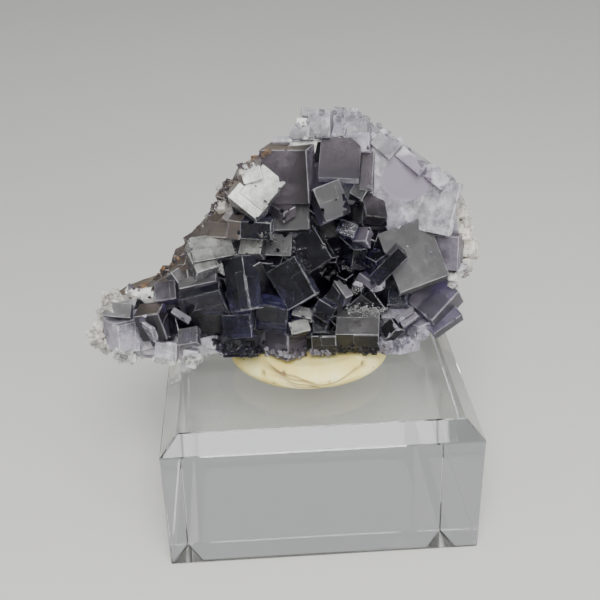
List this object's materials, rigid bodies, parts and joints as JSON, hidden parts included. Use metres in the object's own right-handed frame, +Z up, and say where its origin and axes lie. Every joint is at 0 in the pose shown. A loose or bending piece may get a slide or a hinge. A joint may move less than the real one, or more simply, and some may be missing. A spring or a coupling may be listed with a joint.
{
  "type": "fluorite specimen",
  "caption": "Cluster of dark violet cubic fluorite crystals on a thin rock plate, set with putty on a clear chamfered display block.",
  "frame": {"origin": "centre of the clear block's underside", "axes": "+Z up, +X to the right seen from the front, and the crystals' face towards -Y"},
  "size_m": [0.0649, 0.05, 0.0673],
  "materials": {
    "fluorite": "gloss",
    "matrix": "matte",
    "putty": "satin",
    "acrylic": "gloss"
  },
  "bodies": {
    "root": {"fluorite_crystals": "fluorite", "matrix_rock": "matrix", "mineral_putty": "putty", "acrylic_block": "acrylic"}
  },
  "joints": []
}
